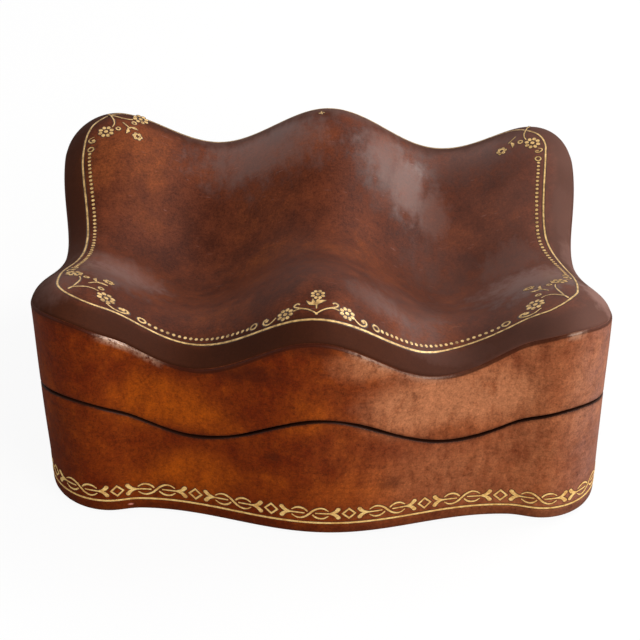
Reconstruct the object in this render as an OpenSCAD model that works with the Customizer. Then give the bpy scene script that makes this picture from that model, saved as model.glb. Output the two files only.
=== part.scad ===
// Moulded leather box with a serpentine outline and a hinged lid whose top rolls in two
// directions. Each half is a wooden frame of four rails and four corner blocks, covered
// in leather and lined with suede. The wavy seam between the halves rises and falls much as
// the top does. The origin is on the ground under the middle of the plan, +Z is up, and the
// front of the box looks along -Y.

/* [Plan] */
// Width across the corners
box_w = 232; // [210:1:250]
// Depth from the front corners to the back
box_d = 172; // [155:1:190]
// Radius of the four corners
corner_r = 26; // [22:1:30]
// How far the middle of the front swells forward
front_bulge = 13.5; // [6:0.5:16]
// Half the length of the front swelling
bulge_half = 76; // [66:1:78]
// How far the front corners stand forward of the hollows beside the swelling
front_lobe = 2; // [0:0.5:4]
// How far each side draws in at its middle
side_waist = 6; // [0:0.5:8]
// How far the foot of the walls stands in from their top
wall_lean = 1; // [0:0.2:4]
// How far the foot stands over to the right of the top: this hand-built box leans a little
foot_shift = 4.4; // [0:0.2:5]

/* [Waves] */
// Mean height of the top
top_h = 84; // [78:0.5:94]
// Height of the top's wave from left to right, from its middle to a crest
top_wave_x = 10.2; // [6:0.2:12]
// How much lower that wave is at the back than at the front
top_wave_ebb = 2.5; // [0:0.1:3]
// How far its crests lie over to the right in the middle of the depth
top_side = 2; // [0:0.2:3]
// How far the crests wander to the right from front to back
top_drift = 7.2; // [0:0.2:9]
// Height of the top's wave from front to back, from its middle to a crest
top_wave_y = 10.8; // [5:0.2:12]
// Crest to crest length of that wave
top_len_y = 149; // [140:1:165]
// How far behind the middle of the plan its valley lies
top_valley = 3; // [0:0.2:5]
// How much lower the top lies at the corners than in the middle of its crest
top_fall = 7.2; // [0:0.2:9]
// Mean height of the seam between base and lid
seam_h = 47; // [42:0.5:52]
// Height of the seam's wave from left to right, from its middle to a crest
seam_wave_x = 8.3; // [4:0.1:9.5]
// Height of the seam's wave from front to back, from its middle to a crest
seam_wave_y = 6.4; // [3:0.1:8]
// How much lower the seam lies at the corners than in the middle of its crest
seam_fall = 4.5; // [0:0.5:6]
// Crest to crest length of the waves from left to right
wave_len_x = 102; // [94:1:108]
// Crest to crest length of the seam's wave from front to back
wave_len_y = 160; // [150:1:175]

/* [Leather] */
// Thickness of the leather
skin = 1.4; // [1:0.1:1.8]
// Gap between the leather rims of base and lid
seam_gap = 0.6; // [0.4:0.1:1]
// Radius of the leather where it turns over a rim
rim_r = 0.8; // [0.4:0.1:1]
// Radius of the leather where it turns under the base
foot_r = 3; // [2:0.2:4]
// Width of leather turned under the base
turn_in = 10; // [7:0.5:14]
// Width of the border that rolls down to the top's edge
border_w = 10.4; // [9:0.2:13]
// How far that border rolls down
border_drop = 2.4; // [1:0.2:4]
// Thickness of the sheet under the base
underside_t = 1.8; // [1.4:0.1:2.4]
// How far that sheet stands proud of the turned leather
underside_proud = 0.4; // [0.2:0.1:0.6]

/* [Wood] */
// Thickness of the base's rails
base_rail = 6; // [5:0.2:7]
// Thickness of the lid's rails
lid_rail = 4.5; // [4:0.1:5]
// Thickness of the board under the base's floor
base_board = 5; // [4:0.2:7]
// Thickness of the moulded board in the lid's top
lid_board = 4.5; // [3.5:0.1:6]
// Thickness of the lip strip inside the base's rim
lip_t = 1.8; // [1.4:0.1:2.2]
// Height of the lip above the seam
lip_h = 4; // [2:0.2:5]
// Glue line between pieces of one half
glue = 0.1; // [0.05:0.01:0.15]

/* [Lining] */
// Thickness of the suede on the walls and in the lid
lining = 0.8; // [0.6:0.1:1.1]
// Thickness of the card under the floor pad
card = 1.5; // [1:0.1:2]
// Thickness of the suede floor pad
pad = 3; // [2:0.2:4]

/* [Hinges] */
// Distance of each hinge from the middle of the back
hinge_x = 51; // [44:1:58]
// Width of a hinge leaf
leaf_w = 22; // [18:0.5:26]
// Reach of a hinge leaf from the pin's axis
leaf_h = 13; // [11:0.5:15]
// Thickness of a hinge leaf
leaf_t = 1; // [0.8:0.1:1.2]
// Outer radius of the knuckles
knuckle_r = 2.4; // [2.2:0.1:2.8]
// Radius of the hinge pin
pin_r = 0.95; // [0.8:0.05:1.1]
// Clearance of the pin in the lid's knuckle
pin_clear = 0.05; // [0.03:0.01:0.08]
// Gap between neighbouring knuckles
knuckle_gap = 0.2; // [0.1:0.05:0.3]
// How far the lid opens
open_angle = 100; // [85:1:110]
// Angle that the stop lug in the barrel takes up
lug_angle = 60; // [40:5:70]
// Length of the stop lug along the barrel
lug_len = 1; // [0.8:0.1:1.4]
// Distance of each screw from the middle of its leaf
screw_x = 6.5; // [5:0.5:7]
// Height of the screws from the pin's axis
screw_h = 8.4; // [7.5:0.1:9]
// Radius of a screw's shank
screw_r = 0.8; // [0.6:0.05:0.9]
// Radius of a screw's head
screw_head_r = 1.7; // [1.4:0.1:1.9]
// Length of a screw under its leaf
screw_l = 5; // [4:0.1:5.4]

/* [Hidden] */

wood = [0.80, 0.62, 0.40];
wall_leather = [0.50, 0.24, 0.10];
top_leather = [0.31, 0.14, 0.08];
suede = [0.45, 0.30, 0.18];
card_grey = [0.62, 0.58, 0.50];
brass = [0.80, 0.64, 0.30];

corner_x = box_w / 2 - corner_r;
corner_y = box_d / 2 - corner_r;
wall_top = top_h + top_wave_x + top_wave_y;
roll_shape = 1.5;
slack = 0.05;
tiny = 0.01;

// Stations round the plan: the numbers of them on each stretch, counted from the
// front left corner towards the right
front_n = 20;
corner_n = 5;
side_n = 6;
back_n = 14;
right_1 = front_n + corner_n;
right_2 = right_1 + side_n;
back_1 = right_2 + corner_n;
back_2 = back_1 + back_n;
left_1 = back_2 + corner_n;
left_2 = left_1 + side_n;
stations = left_2 + corner_n;

// Depths of the layers, measured inward from the outer face of the leather
frame_t = skin + glue;
base_in = frame_t + base_rail;
lid_in = frame_t + lid_rail;
lip_in = base_in + glue + lip_t;
base_lined = lip_in + glue + lining;
lid_lined = lid_in + glue + lining;

// Heights of the base's layers
board_z = underside_t + glue;
rail_z = board_z + base_board + glue;
card_z = rail_z;
pad_z = card_z + card + glue;

// One smooth swelling: 1 in the middle, 0 from q = 1 outward
function hump(q) = (1 + cos(180 * max(-1, min(1, q)))) / 2;

// The front edge: a swelling in the middle, a shallow hollow, and a lobe at each corner
function front_y(x) =
    let (lobe = 1 - hump((max(abs(x), bulge_half) - bulge_half) / (corner_x - bulge_half)))
    front_lobe - box_d / 2 - front_bulge * hump(x / bulge_half) - front_lobe * lobe;
function side_x(y) = box_w / 2 - side_waist * hump(y / corner_y);

// A station is [x, y, inward normal x, inward normal y]
function front_station(x) =
    let (slope = (front_y(x + tiny) - front_y(x - tiny)) / (2 * tiny), l = norm([slope, 1]))
    [x, front_y(x), -slope / l, 1 / l];
function side_station(y, hand) =
    let (slope = (side_x(y + tiny) - side_x(y - tiny)) / (2 * tiny), l = norm([slope, 1]))
    [hand * side_x(y), y, -hand / l, slope / l];
function corner_station(cx, cy, a) =
    [cx + corner_r * cos(a), cy + corner_r * sin(a), -cos(a), -sin(a)];
function part_of(i, n) = i / n;

plan = concat(
    [for (i = [0 : front_n - 1]) front_station(corner_x * (2 * part_of(i, front_n) - 1))],
    [for (i = [0 : corner_n - 1]) corner_station(corner_x, -corner_y, 90 * part_of(i, corner_n) - 90)],
    [for (i = [0 : side_n - 1]) side_station(corner_y * (2 * part_of(i, side_n) - 1), 1)],
    [for (i = [0 : corner_n - 1]) corner_station(corner_x, corner_y, 90 * part_of(i, corner_n))],
    [for (i = [0 : back_n - 1]) [corner_x * (1 - 2 * part_of(i, back_n)), box_d / 2, 0, -1]],
    [for (i = [0 : corner_n - 1]) corner_station(-corner_x, corner_y, 90 + 90 * part_of(i, corner_n))],
    [for (i = [0 : side_n - 1]) side_station(corner_y * (1 - 2 * part_of(i, side_n)), -1)],
    [for (i = [0 : corner_n - 1]) corner_station(-corner_x, -corner_y, 180 + 90 * part_of(i, corner_n))]
);

function st(i) = plan[i % stations];
function inset(i, t) = [st(i)[0] + t * st(i)[2], st(i)[1] + t * st(i)[3]];
function lean(z) = wall_lean * (1 - z / wall_top);
function shift(z) = foot_shift * (1 - z / wall_top);
function leaned(i, t, z) = inset(i, t + lean(z)) + [shift(z), 0];
function wall_pt(i, t, z) = let (p = leaned(i, t, z)) [p[0], p[1], z];

// A double wave: ax and ay are its heights, fall is how much lower it lies at the corners,
// and side and back are how far its crests stand over that way
function wave(x, y, h, ax, ay, fall, len_y, side = 0, back = 0) =
    h + ax * cos(360 * (x - side) / wave_len_x) - fall * pow(2 * x / box_w, 2)
    - ay * cos(360 * (y - back) / len_y);
function top_z(p) =
    let (way = p[1] / box_d)
    wave(
        p[0], p[1], top_h, top_wave_x - top_wave_ebb * way, top_wave_y, top_fall, top_len_y,
        top_side + top_drift * way, top_valley
    );
function seam_z(i) = wave(st(i)[0], st(i)[1], seam_h, seam_wave_x, seam_wave_y, seam_fall, wave_len_y);
function roll_down(t) = t < border_w ? border_drop * pow(1 - t / border_w, roll_shape) : 0;
function edge_z(i, t) = top_z(inset(i, t)) - roll_down(t);
function base_rim(i) = seam_z(i) - seam_gap / 2;
function lid_rim(i) = seam_z(i) + seam_gap / 2;

// A surface of the lid's top at a depth below the leather's face. A ring's place is an
// inset from the edge, or a share of the way in from the border when it is negative.
inner_rings = [-0.11, -0.23, -0.36, -0.50, -0.65, -0.81];
// Inset of the ring half way down the roll of the border
roll_ring = 3;
function top_pt(i, place, depth) =
    let (
        deep = place >= 0 && place < border_w ? depth : 0,
        p = leaned(i, max(place, place < 0 ? border_w : 0), edge_z(i, 0) - deep) * (1 + min(place, 0))
    )
    [p[0], p[1], top_z(p) - roll_down(place < 0 ? border_w : place) - depth];

// A closed band round the box: secs holds one closed section for each station
module band(secs) {
    n = len(secs);
    m = len(secs[0]);
    points = [for (s = secs) each s];
    faces = [
        for (i = [0 : n - 1])
        for (j = [0 : m - 1])
        let (a = i * m + j, b = i * m + (j + 1) % m, k = (i + 1) % n, d = k * m + j, c = k * m + (j + 1) % m)
        each [[b, a, d], [b, d, c]]
    ];
    polyhedron(points, faces, convexity = 8);
}

// A piece of such a band with flat ends
module strip(secs) {
    n = len(secs);
    m = len(secs[0]);
    points = [for (s = secs) each s];
    sides = [
        for (i = [0 : n - 2])
        for (j = [0 : m - 1])
        let (a = i * m + j, b = i * m + (j + 1) % m, d = a + m, c = b + m)
        each [[b, a, d], [b, d, c]]
    ];
    near = [for (j = [1 : m - 2]) [0, j, j + 1]];
    far = [for (j = [1 : m - 2]) [(n - 1) * m, (n - 1) * m + j + 1, (n - 1) * m + j]];
    polyhedron(points, concat(sides, near, far), convexity = 8);
}

// A plate: rings from the middle of its lower face outward and back to the middle on top.
// From ring fold on its facets are cut the other way, so that the upper and lower faces of
// a curved sheet have the same facets and such sheets nest.
module plate(rings, low, high, fold = 1000) {
    n = len(rings);
    m = len(rings[0]);
    points = concat([for (r = rings) each r], [low, high]);
    bottom = [for (i = [0 : m - 1]) [n * m, i, (i + 1) % m]];
    top = [for (i = [0 : m - 1]) [(n - 1) * m + (i + 1) % m, (n - 1) * m + i, n * m + 1]];
    sides = [
        for (r = [0 : n - 2])
        for (i = [0 : m - 1])
        let (a = r * m + i, b = r * m + (i + 1) % m, d = a + m, c = b + m)
        each r < fold ? [[b, a, d], [b, d, c]] : [[b, a, c], [a, d, c]]
    ];
    polyhedron(points, concat(bottom, sides, top), convexity = 8);
}

function flat_ring(t, z) = [for (i = [0 : stations - 1]) wall_pt(i, t, z)];
function top_ring(place, depth) = [for (i = [0 : stations - 1]) top_pt(i, place, depth)];
function reversed(list) = [for (i = [len(list) - 1 : -1 : 0]) list[i]];
// Points of an arc in a section, as [inset, height]
function arc(cx, cz, r, from, to, n) =
    [for (k = [0 : n]) let (a = from + (to - from) * k / n) [cx + r * cos(a), cz + r * sin(a)]];

// A flat plate with upright edges
module flat_plate(t, z0, z1) {
    plate([flat_ring(t, z0), flat_ring(t, z1)], [0, 0, z0], [0, 0, z1]);
}

// A sheet that follows the top between two depths. Its outer rings lie at the insets in
// edge, and the rest reach from the border to the middle.
module top_sheet(edge, depth_0, depth_1) {
    places = concat(edge, [border_w], inner_rings);
    lower = [for (p = reversed(places)) top_ring(p, depth_1)];
    upper = [for (p = places) top_ring(p, depth_0)];
    middle = top_z([0, 0]);
    plate(concat(lower, upper), [0, 0, middle - depth_1], [0, 0, middle - depth_0], len(lower));
}

// Depths of the lid's layers below the face of its top
board_top = skin + glue;
board_low = board_top + lid_board;
lining_top = board_low + glue;
lining_low = lining_top + lining;

// Sections of the frames, as points [inset, height] leaned with the wall
function base_rail_section(i) =
    let (z1 = base_rim(i) - skin - 2 * glue)
    [
        wall_pt(i, frame_t, z1), wall_pt(i, frame_t, rail_z),
        wall_pt(i, base_in, rail_z), wall_pt(i, base_in, z1)
    ];
function lid_rail_section(i) =
    let (z0 = lid_rim(i) + skin + 2 * glue)
    [
        top_pt(i, frame_t, board_low + glue), wall_pt(i, frame_t, z0),
        wall_pt(i, lid_in, z0), top_pt(i, lid_in, board_low + glue)
    ];
module base_piece(from, to) {
    strip([for (i = [from : to]) base_rail_section(i)]);
}
module lid_piece(from, to) {
    strip([for (i = [from : to]) lid_rail_section(i)]);
}

// Places that the hinges take from the back wall
face_tilt = -atan(wall_lean / wall_top);
axis_seam = wave(hinge_x, box_d / 2, seam_h, seam_wave_x, seam_wave_y, seam_fall, wave_len_y);
axis_air = 0.25;
axis_off = knuckle_r + axis_air;
leaf_gap = 0.3;
module at_hinge(side) {
    translate([side * hinge_x, box_d / 2 - lean(axis_seam), axis_seam])
    rotate([face_tilt, 0, 0])
    translate([0, axis_off, 0])
    children();
}
module at_screws(up) {
    for (x = [-screw_x, screw_x])
    translate([x, slack - axis_off, up * screw_h])
    rotate([90, 0, 0])
    children();
}
module screw_holes(up) {
    for (side = [-1, 1])
    at_hinge(side)
    at_screws(up)
    translate([0, 0, -leaf_t])
    cylinder(r = screw_r + slack, h = leaf_t + screw_l + 2 * slack, $fn = 24);
}

module base_front_rail() {
    color(wood) base_piece(0, front_n);
}
module base_back_rail() {
    color(wood)
    difference() {
        base_piece(back_1, back_2);
        screw_holes(-1);
    }
}
module base_left_rail() {
    color(wood) base_piece(left_1, left_2);
}
module base_right_rail() {
    color(wood) base_piece(right_1, right_2);
}
module base_corner_blocks() {
    color(wood)
    for (from = [front_n, right_2, back_2, left_2]) base_piece(from, from + corner_n);
}

module base_bottom_board() {
    bevel = foot_r - skin + glue;
    color(wood)
    plate(
        [flat_ring(frame_t + bevel, board_z), flat_ring(frame_t, board_z + bevel), flat_ring(frame_t, rail_z - glue)],
        [0, 0, board_z], [0, 0, rail_z - glue]
    );
}

// Leather of the base's wall: turned over the rim at the top and in under the board
function base_leather_section(i) =
    let (
        z1 = base_rim(i),
        z0 = underside_proud,
        outer = concat(
            arc(rim_r, z1 - rim_r, rim_r, 90, 180, 2),
            arc(foot_r, z0 + foot_r, foot_r, 180, 270, 3)
        ),
        under = [[turn_in, z0], [turn_in, z0 + skin]],
        inner = concat(
            arc(foot_r, z0 + foot_r, foot_r - skin, 270, 180, 1),
            [[skin, z1 - skin], [base_in, z1 - skin], [base_in, z1]]
        )
    )
    [for (p = concat(outer, under, inner)) wall_pt(i, p[0], p[1])];
module base_side_leather() {
    color(wall_leather)
    difference() {
        band([for (i = [0 : stations - 1]) base_leather_section(i)]);
        screw_holes(-1);
    }
}

module base_underside_sheet() {
    color(suede) flat_plate(turn_in + glue, 0, underside_t);
}

// Strip that stands inside the base's rim and locates the lid
function lip_section(i) =
    let (z1 = seam_z(i) + lip_h, t0 = base_in + glue)
    [
        wall_pt(i, t0 + lip_t / 2, z1), wall_pt(i, t0, z1 - lip_t / 2), wall_pt(i, t0, rail_z),
        wall_pt(i, lip_in, rail_z), wall_pt(i, lip_in, z1 - lip_t / 2)
    ];
module base_lip() {
    color(wood) band([for (i = [0 : stations - 1]) lip_section(i)]);
}

function base_lining_section(i) =
    let (z1 = seam_z(i) + lip_h - lip_t / 2)
    [
        wall_pt(i, lip_in + glue, z1), wall_pt(i, lip_in + glue, rail_z),
        wall_pt(i, base_lined, rail_z), wall_pt(i, base_lined, z1)
    ];
module base_wall_lining() {
    color(suede) band([for (i = [0 : stations - 1]) base_lining_section(i)]);
}

module base_floor_card() {
    color(card_grey) flat_plate(base_lined + glue, card_z, card_z + card);
}
module base_floor_pad() {
    soft = pad / 2;
    color(suede)
    plate(
        [
            flat_ring(base_lined + glue, pad_z), flat_ring(base_lined + glue, pad_z + pad - soft),
            flat_ring(base_lined + glue + soft / 3, pad_z + pad - soft / 3), flat_ring(base_lined + glue + soft, pad_z + pad)
        ],
        [0, 0, pad_z], [0, 0, pad_z + pad]
    );
}

module lid_front_rail() {
    color(wood) lid_piece(0, front_n);
}
module lid_back_rail() {
    color(wood)
    difference() {
        lid_piece(back_1, back_2);
        screw_holes(1);
    }
}
module lid_left_rail() {
    color(wood) lid_piece(left_1, left_2);
}
module lid_right_rail() {
    color(wood) lid_piece(right_1, right_2);
}
module lid_corner_blocks() {
    color(wood)
    for (from = [front_n, right_2, back_2, left_2]) lid_piece(from, from + corner_n);
}

// Moulded board: the double wave carried through its whole thickness
module lid_top_board() {
    color(wood) top_sheet([frame_t, lid_in], board_top, board_low);
}

// Leather of the lid's wall: turned under the rim at the bottom, up to the top's leather
function lid_leather_section(i) =
    let (z0 = lid_rim(i), z1 = top_pt(i, 0, skin)[2] - glue)
    [
        for (p = concat(
            [[skin, z1], [0, z1]],
            arc(rim_r, z0 + rim_r, rim_r, 180, 270, 2),
            [[lid_in, z0], [lid_in, z0 + skin], [skin, z0 + skin]]
        ))
        wall_pt(i, p[0], p[1])
    ];
module lid_side_leather() {
    color(wall_leather)
    difference() {
        band([for (i = [0 : stations - 1]) lid_leather_section(i)]);
        screw_holes(1);
    }
}

// Leather of the top: one piece, rolled down at the border to a crisp edge
module lid_top_leather() {
    places = concat([lid_in, border_w], inner_rings);
    lower = [for (p = reversed(concat([0, frame_t], places))) top_ring(p, skin)];
    edge = [for (i = [0 : stations - 1]) top_pt(i, 0, skin / 2)];
    upper = [for (p = concat([skin / 2, roll_ring], places)) top_ring(p, 0)];
    middle = top_z([0, 0]);
    color(top_leather)
    plate(concat(lower, [edge], upper), [0, 0, middle - skin], [0, 0, middle], len(lower) + 1);
}

function lid_lining_section(i) =
    [
        top_pt(i, lid_in + glue, lining_low + 2 * glue), wall_pt(i, lid_in + glue, lid_rim(i) + skin),
        wall_pt(i, lid_lined, lid_rim(i) + skin), top_pt(i, lid_lined, lining_low + 2 * glue)
    ];
module lid_wall_lining() {
    color(suede) band([for (i = [0 : stations - 1]) lid_lining_section(i)]);
}
module lid_top_lining() {
    color(suede) top_sheet([lid_in + glue], lining_top, lining_low);
}

// Hinges. A leaf is drawn reaching up from the pin's axis, which lies along X. The lid's
// knuckle is the middle one of three, and its two lugs turn in recesses of the outer
// ones, which stop the lid when it stands open.
knuckle_l = (leaf_w - 2 * knuckle_gap) / 3;
lid_knuckle_x = knuckle_l / 2;
base_knuckle_x = lid_knuckle_x + knuckle_gap;
lug_from = 60;
lug_play = 1;
lug_air = 0.1;
knuckle_lap = 0.2;
pin_proud = 0.3;
// A sector of a ring along X, with its angles counted from +Y towards +Z
module sector(r0, r1, l, from, to) {
    rotate([0, 90, 0])
    rotate([0, 0, from + 90])
    rotate_extrude(angle = to - from, $fn = 64)
    translate([r0, 0])
    square([r1 - r0, l]);
}
module barrel(r0, l) {
    rotate([0, 90, 0])
    difference() {
        cylinder(r = knuckle_r, h = l, $fn = 48);
        translate([0, 0, -1]) cylinder(r = r0, h = l + 2, $fn = 48);
    }
}
module leaf_plate(up) {
    difference() {
        translate([-leaf_w / 2, slack - axis_off, up > 0 ? knuckle_r + leaf_gap : -leaf_h])
        cube([leaf_w, leaf_t, leaf_h - knuckle_r - leaf_gap]);
        at_screws(up)
        translate([0, 0, -leaf_t - tiny])
        cylinder(r1 = screw_head_r + slack, r2 = screw_r + slack, h = leaf_t + 2 * tiny, $fn = 32);
    }
}
// The part of a leaf that reaches the barrel behind one knuckle
module leaf_root(up, x0, l) {
    reach = knuckle_r + leaf_gap + knuckle_lap;
    translate([x0, slack - axis_off, up > 0 ? 0 : -reach]) cube([l, leaf_t, reach]);
}
module lid_leaf(side) {
    at_hinge(side) {
        leaf_plate(1);
        difference() {
            union() {
                leaf_root(1, -lid_knuckle_x, 2 * lid_knuckle_x);
                translate([-lid_knuckle_x, 0, 0]) barrel(pin_r + pin_clear, 2 * lid_knuckle_x);
            }
            translate([-lid_knuckle_x - 1, 0, 0])
            rotate([0, 90, 0])
            cylinder(r = pin_r + pin_clear, h = 2 * lid_knuckle_x + 2, $fn = 48);
        }
        for (x = [-lid_knuckle_x - lug_len, lid_knuckle_x - tiny])
        translate([x, 0, 0])
        sector(pin_r + pin_clear, knuckle_r - slack, lug_len + tiny, lug_from, lug_from + lug_angle);
    }
}
module base_leaf(side) {
    recess = lug_len - knuckle_gap + lug_air;
    at_hinge(side) {
        leaf_plate(-1);
        for (hand = [-1, 1])
        difference() {
            x0 = hand > 0 ? base_knuckle_x : -base_knuckle_x - knuckle_l;
            union() {
                leaf_root(-1, x0, knuckle_l);
                translate([x0, 0, 0]) barrel(pin_r, knuckle_l);
            }
            translate([hand > 0 ? x0 - tiny : x0 + knuckle_l - recess, 0, 0])
            sector(
                pin_r, knuckle_r + 1, recess + tiny,
                lug_from - open_angle - lug_play, lug_from + lug_angle + lug_play
            );
        }
    }
}
module hinge_pin(side) {
    at_hinge(side)
    translate([-leaf_w / 2 - pin_proud, 0, 0])
    rotate([0, 90, 0])
    cylinder(r = pin_r, h = leaf_w + 2 * pin_proud, $fn = 48);
}
// A countersunk wood screw: head, shank and point, with a slot across the head
module screw() {
    point = 1;
    slot_w = 0.4;
    slot_deep = 0.4;
    translate([0, 0, -leaf_t])
    difference() {
        union() {
            cylinder(r1 = screw_head_r, r2 = screw_r, h = leaf_t, $fn = 32);
            cylinder(r = screw_r, h = leaf_t + screw_l - point, $fn = 24);
            translate([0, 0, leaf_t + screw_l - point]) cylinder(r1 = screw_r, r2 = screw_r / 4, h = point, $fn = 24);
        }
        translate([-screw_head_r - 1, -slot_w / 2, -1]) cube([2 * screw_head_r + 2, slot_w, 1 + slot_deep]);
    }
}
module hinge_screws(up) {
    color(brass)
    for (side = [-1, 1]) at_hinge(side) at_screws(up) screw();
}

module left_hinge_base_leaf() {
    color(brass) base_leaf(-1);
}
module right_hinge_base_leaf() {
    color(brass) base_leaf(1);
}
module left_hinge_pin() {
    color(brass) hinge_pin(-1);
}
module right_hinge_pin() {
    color(brass) hinge_pin(1);
}
module base_hinge_screws() {
    hinge_screws(-1);
}
module left_hinge_lid_leaf() {
    color(brass) lid_leaf(-1);
}
module right_hinge_lid_leaf() {
    color(brass) lid_leaf(1);
}
module lid_hinge_screws() {
    hinge_screws(1);
}

base_front_rail();
base_back_rail();
base_left_rail();
base_right_rail();
base_corner_blocks();
base_bottom_board();
base_side_leather();
base_underside_sheet();
base_lip();
base_wall_lining();
base_floor_card();
base_floor_pad();
left_hinge_base_leaf();
right_hinge_base_leaf();
left_hinge_pin();
right_hinge_pin();
base_hinge_screws();
lid_front_rail();
lid_back_rail();
lid_left_rail();
lid_right_rail();
lid_corner_blocks();
lid_top_board();
lid_side_leather();
lid_top_leather();
lid_wall_lining();
lid_top_lining();
left_hinge_lid_leaf();
right_hinge_lid_leaf();
lid_hinge_screws();
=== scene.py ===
import math
import bpy
import numpy as np
from mathutils import Euler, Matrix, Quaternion, Vector


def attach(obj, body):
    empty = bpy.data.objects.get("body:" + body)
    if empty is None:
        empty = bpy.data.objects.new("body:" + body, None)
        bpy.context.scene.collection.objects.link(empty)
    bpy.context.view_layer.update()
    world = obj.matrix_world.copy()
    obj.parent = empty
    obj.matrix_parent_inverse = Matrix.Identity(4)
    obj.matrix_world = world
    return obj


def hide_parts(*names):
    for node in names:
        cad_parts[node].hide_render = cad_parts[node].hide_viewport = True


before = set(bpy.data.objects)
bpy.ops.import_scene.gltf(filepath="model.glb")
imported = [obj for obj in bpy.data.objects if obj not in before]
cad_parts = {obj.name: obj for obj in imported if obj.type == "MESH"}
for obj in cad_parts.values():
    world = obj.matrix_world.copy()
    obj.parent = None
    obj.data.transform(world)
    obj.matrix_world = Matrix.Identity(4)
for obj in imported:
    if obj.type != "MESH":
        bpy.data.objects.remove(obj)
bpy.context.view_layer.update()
print("frame loaded")

# The form of the box in millimetres, as its wooden frame has it
form = {
    "width": 232.0,  # across the corners
    "depth": 172.0,  # front corners to back
    "cornerRadius": 26.0,
    "frontBulge": 13.5,  # swelling in the middle of the front
    "bulgeHalf": 76.0,
    "frontLobe": 2.0,
    "sideWaist": 6.0,
    "wallLean": 1.0,  # foot stands in from the top
    "footShift": 4.4,  # foot stands over to the right of the top
    "topHeight": 84.0,
    "topWaveX": 10.2,
    "topWaveEbb": 2.5,  # that wave is lower at the back
    "topSide": 2.0,  # its crests stand to the right
    "topDrift": 7.2,  # and wander to the right towards the back
    "topWaveY": 10.8,
    "topLengthY": 149.0,
    "topValley": 3.0,
    "topFall": 7.2,
    "seamHeight": 47.0,
    "seamWaveX": 8.3,
    "seamWaveY": 6.4,
    "seamFall": 4.5,
    "waveX": 102.0,  # crest to crest, left to right
    "seamLengthY": 160.0,
    "seamGap": 0.6,
    "borderWidth": 10.4,
    "borderDrop": 2.4,
    "borderRoll": 1.5,
    "railFloor": 7.0,
    "padFloor": 8.6,
}
mm = 0.001
around = 480  # stations round the plan
wallTop = form["topHeight"] + form["topWaveX"] + form["topWaveY"]


def hump(q):
    return (1 + np.cos(np.pi * np.clip(q, -1, 1))) / 2


def frontY(x):
    cornerX = form["width"] / 2 - form["cornerRadius"]
    past = np.maximum(np.abs(x), form["bulgeHalf"]) - form["bulgeHalf"]
    lobe = 1 - hump(past / (cornerX - form["bulgeHalf"]))
    swell = form["frontBulge"] * hump(x / form["bulgeHalf"])
    return form["frontLobe"] - form["depth"] / 2 - swell - form["frontLobe"] * lobe


def sideX(y):
    cornerY = form["depth"] / 2 - form["cornerRadius"]
    return form["width"] / 2 - form["sideWaist"] * hump(y / cornerY)


planSteps = {"front": 2000, "side": 1300, "corner": 450}  # points that each run is drawn with


def drawPlan():
    radius = form["cornerRadius"]
    cornerX = form["width"] / 2 - radius
    cornerY = form["depth"] / 2 - radius
    front = np.linspace(-cornerX, cornerX, planSteps["front"], endpoint=False)
    side = np.linspace(-cornerY, cornerY, planSteps["side"], endpoint=False)
    quarter = np.radians(np.linspace(0, 90, planSteps["corner"], endpoint=False))
    corners = []
    for number, (x, y) in enumerate(((1, -1), (1, 1), (-1, 1), (-1, -1))):
        turn = quarter + math.radians(90 * number - 90)
        corners.append((x * cornerX + radius * np.cos(turn), y * cornerY + radius * np.sin(turn)))
    runs = [
        (front, frontY(front)),
        corners[0],
        (sideX(side), side),
        corners[1],
        (-front, np.full_like(front, form["depth"] / 2)),
        corners[2],
        (-sideX(side), -side),
        corners[3],
    ]
    x = np.concatenate([run[0] for run in runs])
    y = np.concatenate([run[1] for run in runs])
    dx = np.roll(x, -1) - np.roll(x, 1)
    dy = np.roll(y, -1) - np.roll(y, 1)
    size = np.hypot(dx, dy)
    length = np.concatenate([[0], np.cumsum(np.hypot(np.roll(x, -1) - x, np.roll(y, -1) - y))])
    rows = [np.append(row, row[0]) for row in (x, y, -dy / size, dx / size)]
    return length, rows


planLength, planRows = drawPlan()
girth = planLength[-1]
print("plan drawn, girth", round(girth, 1), "mm")


def station(s):
    return [np.interp(np.mod(s, girth), planLength, row) for row in planRows]


# The small unevenness that a moulded skin keeps: height, reach along and up, and start
unevenness = {
    "slow": (0.10, 15.1, 11.7, 0.6),
    "patchy": (0.08, 9.3, 10.9, 1.1),
    "fine": (0.03, 4.7, 6.1, 0.0),
}


def handWork(u, v):
    height, along, up, start = unevenness["slow"]
    work = height * np.sin(u / along - v / up + start)
    height, along, up, start = unevenness["patchy"]
    work = work + height * np.sin(u / along + start) * np.sin(v / up)
    height, along, up, start = unevenness["fine"]
    return work + height * np.sin(u / along + v / up + start)


def wave(x, length):
    return np.cos(2 * np.pi * x / length)


def outward(x):
    # 0 in the middle and 1 at the sides
    return (2 * x / form["width"]) ** 2


def topZ(x, y):
    way = y / form["depth"]
    height = form["topWaveX"] - form["topWaveEbb"] * way
    across = x - form["topSide"] - form["topDrift"] * way
    along = height * wave(across, form["waveX"]) - form["topFall"] * outward(x)
    back = form["topWaveY"] * wave(y - form["topValley"], form["topLengthY"])
    return form["topHeight"] + along - back + handWork(x, y)


# Where the hand-cut seam strays from its wave: place along the girth, reach and rise
seamStrays = [(20, 46, -0.9), (743, 38, 0.7), (166, 46, -0.5), (208, 40, 0.4)]


def nearness(s, middle, reach):
    # 1 at middle, 0 from reach outward, counted round the girth
    gap = np.abs(np.mod(s - middle + girth / 2, girth) - girth / 2)
    return hump(gap / reach)


def seamZ(s):
    x, y = station(s)[:2]
    along = form["seamWaveX"] * wave(x, form["waveX"]) - form["seamFall"] * outward(x)
    stray = sum(rise * nearness(s, middle, reach) for middle, reach, rise in seamStrays)
    return form["seamHeight"] + along - form["seamWaveY"] * wave(y, form["seamLengthY"]) + stray


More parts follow.
